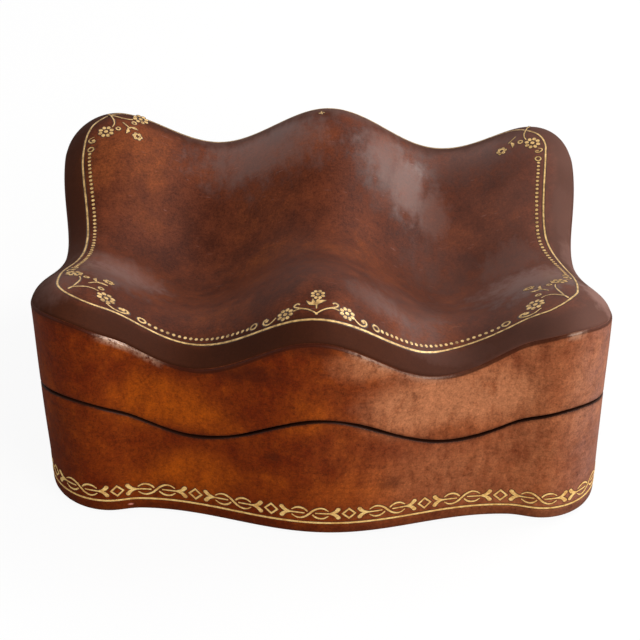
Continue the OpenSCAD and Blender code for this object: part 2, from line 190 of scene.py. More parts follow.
# The two rims are worn a little and don't quite follow each other: how far each stands back,
# and the heights, turns round the girth and start of its wobbles
rims = {
    "worn": 0.2, "slow": 0.10, "baseTurns": 19, "lidTurns": 23,
    "fine": 0.07, "fineTurns": 12, "start": 2,  # the fine one has so many turns more
}


def rimWobble(s, turns):
    slow = rims["slow"] * np.sin(2 * np.pi * turns * s / girth)
    return slow + rims["fine"] * np.sin(2 * np.pi * (turns + rims["fineTurns"]) * s / girth + rims["start"])


def leanAt(z):
    return form["wallLean"] * (1 - z / wallTop)


def shiftAt(z):
    return form["footShift"] * (1 - z / wallTop)


# Only the outside of a wall is uneven, and its foot is calm up to calmZ
wallWork = {"deepest": 0.5, "slant": 0.8, "calmZ": 4.0, "growth": 8.0}


def wallPlace(s, inset, z):
    x, y, nx, ny = station(s)
    strength = np.clip((z - wallWork["calmZ"]) / wallWork["growth"], 0, 1)
    worked = handWork(x - wallWork["slant"] * y, z) * strength
    step = inset + leanAt(z) + np.where(inset < wallWork["deepest"], worked, 0)
    return np.stack(np.broadcast_arrays(x + nx * step + shiftAt(z), y + ny * step, z), -1)


def wallRings(section):
    return [wallPlace(stations, inset, z) for inset, z in section]


def rollDown(inset):
    return form["borderDrop"] * np.clip(1 - inset / form["borderWidth"], 0, None) ** form["borderRoll"]


def arrisZ(s):
    x, y = station(s)[:2]
    return topZ(x, y) - form["borderDrop"]


def topPlan(s, inset, depth=0.0):
    x, y, nx, ny = station(s)
    level = arrisZ(s) - np.where(inset < form["borderWidth"], depth, 0)
    step = inset + leanAt(level)
    return x + nx * step + shiftAt(level), y + ny * step


def topPlace(s, inset, depth=0.0):
    x, y = topPlan(s, inset, depth)
    return np.stack(np.broadcast_arrays(x, y, topZ(x, y) - rollDown(inset) - depth), -1)


def innerPlace(s, share, depth=0.0):
    x, y = topPlan(s, form["borderWidth"])
    return np.stack((x * share, y * share, topZ(x * share, y * share) - depth), -1)


def clearSelection():
    bpy.ops.object.select_all(action="DESELECT")


def pick(*pieces):
    clearSelection()
    for piece in pieces:
        piece.select_set(True)
    bpy.context.view_layer.objects.active = pieces[0]


def enterEdit(choice="SELECT"):
    bpy.ops.object.mode_set(mode="EDIT")
    bpy.ops.mesh.select_all(action=choice)


def leaveEdit():
    bpy.ops.object.mode_set(mode="OBJECT")


def turnOutward(piece):
    pick(piece)
    enterEdit()
    bpy.ops.mesh.normals_make_consistent(inside=False)
    leaveEdit()


smoothBelow = {"skin": 40, "gold": 50}  # degrees between faces that look smooth


def smoothOutside(piece, angle):
    turnOutward(piece)
    bpy.ops.object.shade_smooth_by_angle(angle=math.radians(angle))


def readPoints(piece):
    flat = np.empty(len(piece.data.vertices) * 3)
    piece.data.vertices.foreach_get("co", flat)
    return flat.reshape(-1, 3)


def writePoints(piece, points):
    piece.data.vertices.foreach_set("co", np.ascontiguousarray(points, dtype=float).ravel())
    piece.data.update()


def finishPiece(piece, body, slot, *nodes):
    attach(piece, body)
    if nodes:
        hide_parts(*nodes)
    print("made", piece.name, len(piece.data.polygons), "faces")
    return piece


# A skin starts as a circle that is extruded ring by ring, and is closed on itself or capped
def drawSkin(name, rings, capped):
    clearSelection()
    bpy.ops.mesh.primitive_circle_add(vertices=around, radius=1.0, location=(0, 0, 0))
    piece = bpy.context.object
    piece.name = name
    enterEdit()
    for step in range(rings - 1):
        bpy.ops.mesh.extrude_region_move(TRANSFORM_OT_translate={"value": (0, 0, 1)})
    bpy.ops.mesh.select_mode(type="VERT")
    bpy.ops.mesh.select_all(action="DESELECT")
    bpy.ops.mesh.select_non_manifold()
    if capped:
        bpy.ops.mesh.fill_holes(sides=0)
        bpy.ops.mesh.select_all(action="DESELECT")
        bpy.ops.mesh.select_face_by_sides(number=4, type="GREATER")
        bpy.ops.mesh.poke()
    else:
        bpy.ops.mesh.bridge_edge_loops()
    leaveEdit()
    return piece


# It is then moulded: each point goes from its ring and turn to its place on the box. Middles
# are the heights of a capped skin's two middles, and marks tell the material about each ring.
def mouldSkin(name, rings, middles=None, marks=None):
    piece = drawSkin(name, len(rings), middles is not None)
    points = np.stack(rings, 1)
    start = readPoints(piece)
    ring = np.rint(start[:, 2]).astype(int)
    turn = np.rint(np.arctan2(start[:, 1], start[:, 0]) / (2 * np.pi) * around).astype(int) % around
    placed = points[turn, ring]
    if middles:
        central = np.hypot(start[:, 0], start[:, 1]) < 0.5
        placed[central & (ring == 0)] = (0, 0, middles[0])
        placed[central & (ring > 0)] = (0, 0, middles[1])
    writePoints(piece, placed * mm)
    for mark, values in (marks or {}).items():
        table = np.stack([np.broadcast_to(value, (around,)) for value in values], 1)
        layer = piece.data.attributes.new(mark, "FLOAT", "POINT")
        layer.data.foreach_set("value", table[turn, ring].astype(np.float32))
    smoothOutside(piece, smoothBelow["skin"])
    return piece


def fanShares(count):
    # shares of the way out from the middle, which a fan closes
    return np.linspace(1, 0.03, count)


def shrink(ring, *shares):
    return [ring * (share, share, 1) for share in shares]


def arc(middle, radius, start, end, steps):
    turns = np.radians(np.linspace(start, end, steps + 1))
    return [(middle[0] + radius * math.cos(turn), middle[1] + radius * np.sin(turn)) for turn in turns]


def straight(start, end, steps):
    # the outside of a wall between two heights
    return [(0.0, start + (end - start) * share) for share in np.linspace(0, 1, steps)[1:-1]]


stations = np.arange(around) * girth / around
rimStep = form["seamGap"] / 2 + rims["worn"]
baseRim = seamZ(stations) - rimStep + rimWobble(stations, rims["baseTurns"])
lidRim = seamZ(stations) + rimStep + rimWobble(stations, rims["lidTurns"])


def mouldWall(name, body, section, rim, below, foot):
    # below is 1 for a wall under the seam and -1 for one over it
    marks = {
        "fromSeam": [below * (rim - z) for inset, z in section],
        "fromFoot": [z - foot for inset, z in section],
        "fromArris": [arrisZ(stations) - z for inset, z in section],
    }
    piece = mouldSkin(name, wallRings(section), marks=marks)
    return finishPiece(piece, body, "wall_leather", body + "_side_leather")


# Leather of the base's wall, from the rim down the outside, under the foot and back up inside.
# Where a maker starts with look.values(), it takes them in the order in which they are listed.
baseWall = {
    "skin": 1.4, "rimRadius": 0.8, "footRadius": 3.0, "footZ": 0.4, "turnIn": 10.0, "rimIn": 7.5,
    "steps": 14,
}


def makeBaseWall(look):
    skin, rimRadius, footRadius, footZ, turnIn, rimIn, steps = look.values()
    top = baseRim
    shoulder = top - rimRadius
    ankle = footZ + footRadius
    section = arc((rimRadius, shoulder), rimRadius, 90, 180, 5)
    section += straight(shoulder, ankle, steps)
    section += arc((footRadius, ankle), footRadius, 180, 270, 6)
    section += [(turnIn, footZ), (turnIn, footZ + skin)]
    section += arc((footRadius, ankle), footRadius - skin, 270, 180, 3)
    section += [(skin, top - skin), (rimIn, top - skin), (rimIn, top), (rimIn / 2, top)]
    return mouldWall("baseWall", "base", section, top, 1, footZ)


# Leather of the lid's wall, from a soft shoulder under the top's edge down the outside and
# in under the rim
lidWall = {"skin": 1.4, "drop": 0.45, "rimRadius": 0.8, "shoulder": 1.3, "rimIn": 6.0, "steps": 14}


def makeLidWall(look):
    skin, drop, rimRadius, edge, rimIn, steps = look.values()
    bottom = lidRim
    top = topPlace(stations, 0.0)[:, 2] - drop
    heel = bottom + rimRadius
    section = [(skin, top)] + arc((edge, top - edge), edge, 90, 180, 7)
    section += straight(top - edge, heel, steps)
    section += arc((rimRadius, heel), rimRadius, 180, 270, 5)
    section += [(rimIn / 2, bottom), (rimIn, bottom), (rimIn, bottom + skin), (skin, bottom + skin)]
    return mouldWall("lidWall", "lid", section, bottom, -1, 0.0)


# Leather of the top: rolled down at its border to a crisp arris
lidTop = {
    "skin": 1.4, "arrisRadius": 0.6, "standIn": 0.75, "rings": 42, "lowRings": 10,
    "under": (5.0, 2.0),  # insets of the rings under the border, and over it
    "over": [1.6, 2.0, 2.6, 3.5, 4.6, 6.0, 7.4, 8.8, 9.8],
    "roundMarks": [0.0, 0.1, 0.3, 0.6],  # how far the rings of the arris count as being from it
    "far": 60.0,  # and the middle
}


def makeLidTop(look):
    skin, radius, start, rings, lowRings, under, over, roundMarks, far = look.values()
    border = form["borderWidth"]
    shares = fanShares(rings)[1:]
    low = [innerPlace(stations, share, skin) for share in fanShares(lowRings)[::-1]]
    low += [topPlace(stations, inset, skin) for inset in (*under, start)]
    low.append(topPlace(stations, start, radius))
    arris = arc((start + radius, -radius), radius, 150, 90, 2)
    over = over + [border]
    upper = [topPlace(stations, inset, -level) for inset, level in arris]
    upper += [topPlace(stations, inset) for inset in over]
    upper += [innerPlace(stations, share) for share in shares]
    marks = [far] * (len(low) - 1) + roundMarks + over
    marks += [border + (1 - share) * far for share in shares]
    middle = topZ(0.0, 0.0)
    piece = mouldSkin("lidTop", low + upper, (middle - skin, middle), {"fromArris": marks})
    return finishPiece(piece, "lid", "top_leather", "lid_top_leather")


skins = [makeBaseWall(baseWall), makeLidWall(lidWall), makeLidTop(lidTop)]

# Suede round the inside of the base: it covers the lip that stands above the rim
baseLining = {"outer": 7.6, "inner": 10.3, "lip": 4.0, "levels": (0.25, 0.5, 0.75)}


def makeBaseLining(look):
    outer, inner, lip, levels = look.values()
    half = (inner - outer) / 2
    high = seamZ(stations) + lip - half
    floor = form["railFloor"]
    section = [(inner, floor)] + [(inner, floor + (high - floor) * share) for share in levels]
    section += arc((outer + half, high), half, 0, 180, 8) + [(outer, floor)]
    piece = mouldSkin("baseLining", wallRings(section))
    return finishPiece(piece, "base", "suede", "base_wall_lining", "base_lip")


# Suede round the inside of the lid
lidLining = {"outer": 6.1, "inner": 6.9, "skin": 1.4, "underTop": 7.1, "levels": (0.3, 0.65)}


def makeLidLining(look):
    outer, inner, skin, underTop, levels = look.values()
    half = (inner - outer) / 2
    low = lidRim + skin + half
    topIn, topOut = (topPlace(stations, inset, underTop) for inset in (inner, outer))
    high = topIn[:, 2]
    section = [(inner, high + (low - high) * share) for share in levels]
    section += arc((outer + half, low), half, 360, 180, 4)
    piece = mouldSkin("lidLining", [topIn] + wallRings(section) + [topOut])
    return finishPiece(piece, "lid", "suede", "lid_wall_lining")


# Sheets that follow the top at a depth: the moulded board and the suede under it
topBoard = {"name": "topBoard", "edge": (1.5, 4.0, 8.4), "high": 1.5, "low": 6.0, "rings": 34}
lidTopLining = {"name": "lidTopLining", "edge": (6.1, 6.3, 8.4), "high": 6.1, "low": 6.9, "rings": 34}


def makeTopSheet(look, slot, node):
    name, edge, high, low, rings = look.values()
    shares = fanShares(rings)
    lower = [innerPlace(stations, share, low) for share in shares[::-1]]
    lower += [topPlace(stations, inset, low) for inset in edge[::-1]]
    upper = [topPlace(stations, inset, high) for inset in edge]
    upper += [innerPlace(stations, share, high) for share in shares]
    middle = topZ(0.0, 0.0)
    piece = mouldSkin(name, lower + upper, (middle - low, middle - high))
    return finishPiece(piece, "lid", slot, node)


# Padded suede floor: it is pulled down all round and crowned between
floorPad = {
    "inset": 10.4, "thick": 3.0, "rim": 1.1, "pull": 16.0, "rings": 26, "crown": 2.2, "underCeiling": 0.2,
    "gathers": 60, "gather": 0.10, "gatherReach": 4, "soft": 0.10, "softAcross": 13, "softAlong": 11,
    "edgeIn": 0.5, "under": (0.04, 0.5),
}


def makeFloorPad(look):
    low = form["padFloor"]
    rim = low + look["rim"]
    rings = wallRings([(look["inset"], low), (look["inset"], (low + rim) / 2), (look["inset"], rim)])
    edge = wallPlace(stations, look["inset"] + look["edgeIn"], rim)
    reach = np.hypot(edge[:, 0], edge[:, 1])
    folds = look["gather"] * np.sin(2 * np.pi * look["gathers"] * stations / girth)
    for share in fanShares(look["rings"]):
        x, y = edge[:, 0] * share, edge[:, 1] * share
        away = (1 - share) * reach
        full = 1 - (1 - np.clip(away / look["pull"], 0, 1)) ** look["crown"]
        gather = folds * np.exp(-away / look["gatherReach"]) * np.clip(away, 0, 1)
        soft = look["soft"] * np.sin(x / look["softAcross"]) * np.cos(y / look["softAlong"])
        rise = look["thick"] - look["rim"] - look["underCeiling"]
        rings.append(np.stack((x, y, rim + rise * full + gather + soft * full), -1))
    rings = shrink(rings[0], *look["under"]) + rings
    piece = mouldSkin("floorPad", rings, (low, rings[-1][:, 2].mean()))
    finishPiece(piece, "base", "suede", "base_floor_pad")
    return piece


# Sheet glued under the base
undersideSheet = {
    "inset": 10.1, "thick": 1.8, "edge": 0.35, "under": (0.04, 0.35, 0.7, 0.93), "over": (0.5, 0.04),
}


def makeUndersideSheet(look):
    outer, thick, edge, under, over = look.values()
    section = [(outer + edge, 0.0), (outer + edge * 0.3, edge * 0.3), (outer, edge), (outer, thick)]
    rings = wallRings(section)
    rings = shrink(rings[0], *under) + rings + shrink(rings[-1], *over)
    piece = mouldSkin("undersideSheet", rings, (0, thick))
    return finishPiece(piece, "base", "suede", "base_underside_sheet")


linings = [
    makeBaseLining(baseLining),
    makeLidLining(lidLining),
    makeTopSheet(lidTopLining, "suede", "lid_top_lining"),
    makeFloorPad(floorPad),
    makeUndersideSheet(undersideSheet),
]
board = makeTopSheet(topBoard, "frame_wood", "lid_top_board")


# Gold tooling is stamped flat, in millimetres, and then laid on the leather
def writeFlat(piece, x, y):
    writePoints(piece, np.column_stack((x, y, np.zeros(len(x)))))


def taper(wide, *shares):
    return [wide * share for share in shares]


def drawStroke(points, widths, steps):
    # a flat ribbon along a smooth line through points
    points = np.array(points, float)
    padded = np.vstack([2 * points[0] - points[1], points, 2 * points[-1] - points[-2]])
    t = np.linspace(0, len(points) - 1, steps + 1)
    k = np.clip(t.astype(int), 0, len(points) - 2)
    u = (t - k)[:, None]
    p0, p1, p2, p3 = (padded[k + step] for step in range(4))
    line = 2 * p1 + (p2 - p0) * u + (2 * p0 - 5 * p1 + 4 * p2 - p3) * u**2
    line = (line + (3 * p1 - p0 - 3 * p2 + p3) * u**3) / 2
    heading = np.gradient(line, axis=0)
    heading /= np.hypot(heading[:, 0], heading[:, 1])[:, None]
    wide = np.interp(np.linspace(0, 1, steps + 1), np.linspace(0, 1, len(widths)), widths)[:, None] / 2
    across = np.stack((-heading[:, 1], heading[:, 0]), -1) * wide
    clearSelection()
    bpy.ops.mesh.primitive_grid_add(x_subdivisions=steps, y_subdivisions=1, size=2, location=(0, 0, 0))
    piece = bpy.context.object
    start = readPoints(piece)
    along = np.rint((start[:, 0] + 1) / 2 * steps).astype(int)
    flat = line[along] + across[along] * np.sign(start[:, 1])[:, None]
    writeFlat(piece, *flat.T)
    return piece


def drawPetal(x, y, length, width, turn, sides=10):
    # a flat oval that points along turn
    clearSelection()
    bpy.ops.mesh.primitive_circle_add(vertices=sides, radius=0.5, fill_type="NGON", location=(0, 0, 0))
    piece = bpy.context.object
    across, up = readPoints(piece)[:, :2].T * ((length,), (width,))
    c, s = math.cos(turn), math.sin(turn)
    writeFlat(piece, x + across * c - up * s, y + across * s + up * c)
    return piece


def drawDot(x, y, size):
    return drawPetal(x, y, size, size, 0)


def drawFrame(x, y, radius, inner, sides):
    # a flat frame of so many sides, which is left open for edits
    clearSelection()
    bpy.ops.mesh.primitive_circle_add(vertices=sides, radius=radius, location=(x, y, 0))
    enterEdit()
    bpy.ops.mesh.extrude_region_move(TRANSFORM_OT_translate={"value": (0, 0, 0)})
    share = inner / radius
    bpy.ops.transform.resize(value=(share, share, 1), center_override=(x, y, 0))


def drawRing(x, y, radius, width, sides=16):
    drawFrame(x, y, radius, radius - width, sides)
    leaveEdit()
    bpy.ops.object.transform_apply(location=True, rotation=True, scale=True)
    return bpy.context.object


def placesRound(x, y, away, count, start=0.0):
    # so many places round a middle, each with the way it lies
    for number in range(count):
        angle = 2 * math.pi * (number + start) / count
        yield x + away * math.cos(angle), y + away * math.sin(angle), angle


# Petals round a heart, as shares of the flower's size
flower = {"out": 0.72, "long": 0.52, "wide": 0.46, "heart": 0.5}


def drawFlower(x, y, size, petals, spread):
    length, width = size * flower["long"] + spread, size * flower["wide"] + spread
    places = placesRound(x, y, size * flower["out"], petals, 0.5)
    parts = [drawPetal(px, py, length, width, angle) for px, py, angle in places]
    return parts + [drawDot(x, y, size * flower["heart"] + spread)]


# A pointed leaf: how far it bows, as a share of its length, and its width at root and tip
leafForm = {"bow": 0.12, "root": 0.3, "tip": 0.15}


def drawLeaf(x, y, length, width, turn, spread):
    c, s = math.cos(turn) * length, math.sin(turn) * length
    bow = leafForm["bow"]
    line = [(x, y), (x + c / 2 - s * bow, y + s / 2 + c * bow), (x + c, y + s)]
    return drawStroke(line, (leafForm["root"] + spread, width + spread, leafForm["tip"] + spread), 8)


def joinFlat(name, parts):
    pick(*parts)
    bpy.ops.object.join()
    piece = bpy.context.object
    piece.name = name
    bpy.ops.object.transform_apply(location=True, rotation=True, scale=True)
    return piece


def copyFlat(piece, x, y, flipped=False):
    # a copy with its own mesh, turned upside down if flipped, and moved
    pick(piece)
    bpy.ops.object.duplicate(linked=False)
    copy = bpy.context.object
    writePoints(copy, readPoints(copy) * (1, -1 if flipped else 1, 1) + (x, y, 0))
    if flipped:
        copy.data.flip_normals()
    return copy


def thicken(piece, leaf):
    # a flat drawing gets its thickness, and its lower face goes into the leather
    turnOutward(piece)
    normals = np.empty(len(piece.data.polygons) * 3)
    piece.data.polygons.foreach_get("normal", normals)
    down = normals.reshape(-1, 3)[:, 2] < 0
    if down.any():
        enterEdit("DESELECT")
        leaveEdit()
        piece.data.polygons.foreach_set("select", down)
        bpy.ops.object.mode_set(mode="EDIT")
        bpy.ops.mesh.flip_normals()
        leaveEdit()
    solid = piece.modifiers.new("leaf", "SOLIDIFY")
    solid.thickness = leaf["thick"]
    solid.offset = 1.0
    bpy.ops.object.modifier_apply(modifier=solid.name)
    writePoints(piece, readPoints(piece) - (0, 0, leaf["sunk"]))


slopeStep = 0.05  # the leather's slope is measured over this length on either side


def onWall(s, z, lift):
    return wallPlace(s, -lift, z)


def onTop(x, y, lift):
    slopeX = (topZ(x + slopeStep, y) - topZ(x - slopeStep, y)) / (2 * slopeStep)
    slopeY = (topZ(x, y + slopeStep) - topZ(x, y - slopeStep)) / (2 * slopeStep)
    off = lift / np.sqrt(1 + slopeX**2 + slopeY**2)
    return np.stack((x - slopeX * off, y - slopeY * off, topZ(x, y) + off), -1)


def roundTop(s, inset, lift):
    along = topPlace(s + slopeStep, inset) - topPlace(s - slopeStep, inset)
    across = topPlace(s, inset + slopeStep) - topPlace(s, inset - slopeStep)
    up = np.cross(along, across)
    up /= np.linalg.norm(up, axis=1)[:, None]
    return topPlace(s, inset) + up * lift[:, None]


goldLeaf = {"thick": 0.24, "sunk": 0.14, "spread": 0.0}
pressedAndShade = {"thick": 0.12, "sunk": 0.10, "spread": 0.75}  # leather that the hot tool darkened, with painted shade of the impression


def layGold(name, body, draw, place):
    # the same drawing twice: gold, and wider and lower under it the pressed leather, darkened by
    # the tool and with painted shade of the impression
    made = []
    for ending, leaf in (("Gold", goldLeaf), ("PressShade", pressedAndShade)):
        piece = joinFlat(name + ending, draw(leaf["spread"]))
        thicken(piece, leaf)
        writePoints(piece, place(*readPoints(piece).T) * mm)
        smoothOutside(piece, smoothBelow["gold"])
        made.append(piece)
    under = "top_leather" if body == "lid" else "wall_leather"
    return [finishPiece(made[0], body, "gold_tooling"), finishPiece(made[1], body, under)]


# Line and frieze round the foot. The roll that printed it starts and ends at the right
# front corner, where two motifs meet without a diamond between them. A motif is drawn from
# its middle: two crossing strands, and at each end a stem with a fork of two prongs.
footFrieze = {
    "line": 7.4, "lineWidth": 0.85, "middle": 12.5, "join": 195.0,
    "motifs": 24, "motifHalf": 12.9, "diamond": 3.1, "stroke": 0.76, "stemShare": 0.72,
    "diamondStroke": 1.026,
    "prong": [(11.9, 2.5), (11.2, 1.5), (9.9, 0.5), (7.9, 0)],
    "prongWidths": (1.2, 1.75, 1.2),
    "tip": (11.7, 2.2, 1.9, 1.8),  # its place, length and width
    "stemLine": [(9.4, 0), (6.0, 0), (2.2, 0.1)],
    "under": [(7.6, -1.3), (5.9, -2.5), (3.9, -2.75), (2.2, -2.05), (1.0, -0.85)],
    "over": [(-7.6, -1.3), (-5.9, -2.5), (-3.9, -2.75), (-1.7, -1.7), (0, 0)],
}


def drawMotif(look, spread):
    wide = look["stroke"] + spread
    stem = look["stroke"] * look["stemShare"] + spread
    fork = [width + spread for width in look["prongWidths"]] + [stem]
    tipX, tipY, tipLong, tipWide = look["tip"]
    parts = []
    for hand in (-1, 1):
        for rise in (-1, 1):
            parts.append(drawStroke([(hand * x, rise * y) for x, y in look["prong"]], fork, 8))
            parts.append(drawPetal(hand * tipX, rise * tipY, tipLong + spread, tipWide + spread, 0))
        parts.append(drawStroke([(hand * x, hand * y) for x, y in look["stemLine"]], taper(stem, 1.3, 1), 6))
        under = [(hand * x, hand * y) for x, y in look["under"]]
        parts.append(drawStroke(under, taper(wide, 0.5, 1, 1.1, 0.8), 11))
    over = look["over"] + [(-x, -y) for x, y in look["over"][-2::-1]]
    parts.append(drawStroke(over, taper(wide, 0.5, 1, 1.15, 1, 0.5), 22))
    return joinFlat("motif", parts)


def drawDiamond(look, spread):
    growth = spread * 0.7  # a slanting side grows both ways
    drawFrame(0, 0, look["diamond"] + growth, look["diamond"] - look["diamondStroke"] - growth, 4)
    bpy.ops.mesh.select_all(action="SELECT")
    bpy.ops.mesh.subdivide(number_cuts=1)
    leaveEdit()
    return bpy.context.object


def drawBand(inset, width, steps):
    # a line all the way round; inset gives its place at each point of the girth
    clearSelection()
    bpy.ops.mesh.primitive_grid_add(x_subdivisions=steps, y_subdivisions=1, size=1, location=(0, 0, 0))
    piece = bpy.context.object
    points = readPoints(piece)
    s = (points[:, 0] + 0.5) * girth
    writeFlat(piece, s, inset(s) + np.sign(points[:, 1]) * width / 2)
    return piece


def drawFootTooling(spread):
    look = footFrieze
    motif = drawMotif(look, spread)
    diamond = drawDiamond(look, spread)
    pitch = (girth - 2 * look["motifHalf"]) / (look["motifs"] - 1)
    parts = [drawBand(lambda s: look["line"], look["lineWidth"] + spread, 480)]
    for number in range(look["motifs"]):
        middle = look["join"] + look["motifHalf"] + number * pitch
        parts.append(copyFlat(motif, middle, look["middle"], flipped=number % 2 == 1))
        if number:
            parts.append(copyFlat(diamond, middle - pitch / 2, look["middle"]))
    bpy.data.objects.remove(motif)
    bpy.data.objects.remove(diamond)
    return parts


# Line round the top. It stands further in at the front corners and along the right side,
# and runs close to the edge at the back.
topLine = {
    "inset": 8.7, "width": 0.72,
    "strays": [  # middle along the girth, reach, and how much further in it stands
        (758, 78, 3.4), (208, 59, 7.2), (326, 67, 5.2), (271, 29, -2.3), (151, 20, 2.2), (601, 20, 1.2),
    ],
    "back": (372, 584, 24, 3.2),  # from, to, length of the turn, inset there
}


def lineInset(s):
    look = topLine
    along = np.mod(s, girth)
    inset = look["inset"] + sum(draw * nearness(s, middle, reach) for middle, reach, draw in look["strays"])
    start, end, turn, near = look["back"]
    arrived = hump(np.clip((start + turn - along) / turn, 0, 1))
    leaving = hump(np.clip((along - end + turn) / turn, 0, 1))
    return inset + (near - inset) * arrived * leaving


def drawTopLine(spread):
    return [drawBand(lineInset, topLine["width"] + spread, 560)]


# Runs of beads inside the line. From each end of a run come a curl that closes on a bulb, an
# eyelet, and then the beads; their places are along the line and inward.
beadRuns = {
    "runs": [(8.3, 70.4), (105.0, 175.5), (246.0, 349.0), (603.0, 712.0)],
    "gap": 3.0, "pitch": 2.14, "bead": 1.2, "beadWide": 1.5, "growth": (0.6, 0.8), "firstBead": 12.2,
    "curl": [(0, 0.8), (1.9, -1.1), (3.9, -1.3), (5.3, -0.1), (5.2, 1.3), (4.2, 1.6)], "curlStroke": 0.55,
    "bulb": 1.5, "bulbPlace": (4.0, 0.7), "eyelet": 1.55, "eyeletStroke": 0.6, "eyeletPlace": (9.6, 0.3),
}


def besideLine(s, inward):
    return s, float(lineInset(s)) + beadRuns["gap"] + inward


def drawRunEnd(look, s, hand, spread):
    curl = [besideLine(s + hand * along, inward) for along, inward in look["curl"]]
    places = look["bulbPlace"], look["eyeletPlace"]
    bulb, eyelet = (besideLine(s + hand * along, inward) for along, inward in places)
    return [
        drawStroke(curl, taper(look["curlStroke"] + spread, 0.7, 1.1, 1), 18),
        drawDot(*bulb, look["bulb"] + spread),
        drawRing(*eyelet, look["eyelet"] + spread / 2, look["eyeletStroke"] + spread),
    ]


def drawBeads(spread):
    look = beadRuns
    parts = []
    longer, wider = (spread * share for share in look["growth"])
    dot = drawPetal(0, 0, look["bead"] + longer, look["beadWide"] + wider, 0, 8)
    for start, end in look["runs"]:
        parts += drawRunEnd(look, start, 1, spread) + drawRunEnd(look, end, -1, spread)
        length = end - start - 2 * look["firstBead"]
        count = round(length / look["pitch"])
        for number in range(count + 1):
            parts.append(copyFlat(dot, *besideLine(start + look["firstBead"] + length * number / count, 0)))
    bpy.data.objects.remove(dot)
    return parts


# A flowering spray in each corner. Places are from its root, across the box and along its
# side: a branch runs each way, and an open flower of rings stands between them.
cornerSprays = {
    "corners": [  # x, y, reach across and along the side, and the branches: across is 0, along is 1
        (-99.3, -66.3, 1.0, 1.2, (0, 1)), (97.2, -65.6, -0.87, 1.5, (0, 1)),
        (-96.6, 78.6, 1.03, -0.98, (0, 1)), (98.3, 79.2, -1.0, -0.96, (1,)),
    ],
    "stroke": 0.5, "root": [(0, 0), (0.8, 0.9), (1.6, 1.6)], "trunk": [(7.0, 6.8), (8.6, 8.4), (10.6, 10.4)],
    "stem": [(1.2, 1.3), (3.9, 2.4), (6.4, 3.3), (9.0, 3.5), (11.3, 2.9)],
    "flower": 3.7, "petals": 8, "flowerPlace": (14.5, 0.3),
    "bud": 1.25, "budStroke": 0.6, "budPlace": (12.0, 5.5),
    "leaf": 3.9, "leafWidth": 1.5, "leafLean": 0.12, "leafPlace": (10.3, 9.6),
    "open": 1.505, "openPetals": 6, "openPetal": 0.78, "openStroke": 0.5, "openPlace": (14.0, 14.2),
}


def drawCorner(look, corner, spread):
    x0, y0, across, along, branches = corner
    wide = look["stroke"] + spread
    parts = []

    def spot(point, swap=False):
        u, v = point[::-1] if swap else point
        return x0 + across * u, y0 + along * v

    def stroke(name, widths, steps, swap=False):
        parts.append(drawStroke([spot(point, swap) for point in look[name]], widths, steps))

    stroke("root", taper(wide, 1.4, 1), 3)
    for swap in branches:
        stroke("stem", taper(wide, 1, 1.1, 0.8), 14, swap)
        parts.extend(drawFlower(*spot(look["flowerPlace"], swap), look["flower"], look["petals"], spread))
        bud = look["bud"] + spread / 2
        parts.append(drawRing(*spot(look["budPlace"], swap), bud, look["budStroke"] + spread, 12))
        lean = (-look["leafLean"], 1) if swap else (1, look["leafLean"])
        leafTurn = math.atan2(along * lean[1], across * lean[0])
        x, y = spot(look["leafPlace"], swap)
        parts.append(drawLeaf(x, y, look["leaf"], look["leafWidth"], leafTurn, spread))
    stroke("trunk", taper(wide, 0.7, 1, 1), 5)
    for x, y, angle in placesRound(*spot(look["openPlace"]), look["open"], look["openPetals"]):
        parts.append(drawRing(x, y, look["openPetal"] + spread / 2, look["openStroke"] + spread, 8))
    return parts


# The spray in the middle of the front, drawn from its root: the same on either hand, with a
# taller flower on a stalk in the middle
centreSpray = {
    "root": (-2.5, -86.0), "rootDot": 1.1, "stroke": 0.55,
    "stem": [(0.3, 0.3), (1.8, 1.5), (4.0, 2.8), (6.6, 3.5), (8.8, 3.1)],
    "hook": [(5.0, 3.3), (7.9, 4.6), (8.4, 5.8), (7.2, 6.5), (6.4, 5.8)],
    "leaves": [(0.1, 4.6, 4.6, 1.5, 0.95), (0.2, 4.9, 3.4, 1.3, 0.35)],  # place, length, width, lean
    "flower": 3.1, "petals": 8, "flowerPlace": (11.9, 2.9),
    "stalk": [(0, 2.6), (0, 4.9)], "topFlower": 2.9, "topPlace": (0.6, 10.6),
}
backMark = {"place": (1.5, 75.5), "leaves": 4, "leaf": 1.4, "leafWidth": 0.6}


def drawCentre(look, spread):
    x0, y0 = look["root"]
    wide = look["stroke"] + spread

    def spot(point, hand=1):
        return x0 + hand * point[0], y0 + point[1]

    def stroke(name, widths, steps, hand=1):
        parts.append(drawStroke([spot(point, hand) for point in look[name]], widths, steps))

    parts = [drawDot(x0, y0, look["rootDot"] + spread)]
    for hand in (-1, 1):
        stroke("stem", taper(wide, 0.8, 1, 0.8), 12, hand)
        stroke("hook", taper(wide, 0.7, 1.2, 1), 10, hand)
        for x, y, length, width, lean in look["leaves"]:
            parts.append(drawLeaf(*spot((x, y), hand), length, width, math.pi / 2 - hand * lean, spread))
        parts += drawFlower(*spot(look["flowerPlace"], hand), look["flower"], look["petals"], spread)
    stroke("stalk", taper(wide, 0.8, 1.2), 3)
    parts += drawFlower(*spot(look["topPlace"]), look["topFlower"], look["petals"], spread)
    return parts


def drawSprays(spread):
    parts = []
    for corner in cornerSprays["corners"]:
        parts += drawCorner(cornerSprays, corner, spread)
    parts += drawCentre(centreSpray, spread)
    look = backMark
    for x, y, turn in placesRound(*look["place"], 0, look["leaves"]):
        parts.append(drawLeaf(x, y, look["leaf"], look["leafWidth"], turn, spread))
    return parts


footPieces = layGold("foot", "base", drawFootTooling, onWall)
topPieces = layGold("line", "lid", drawTopLine, roundTop)
topPieces += layGold("bead", "lid", drawBeads, roundTop)
topPieces += layGold("spray", "lid", drawSprays, onTop)


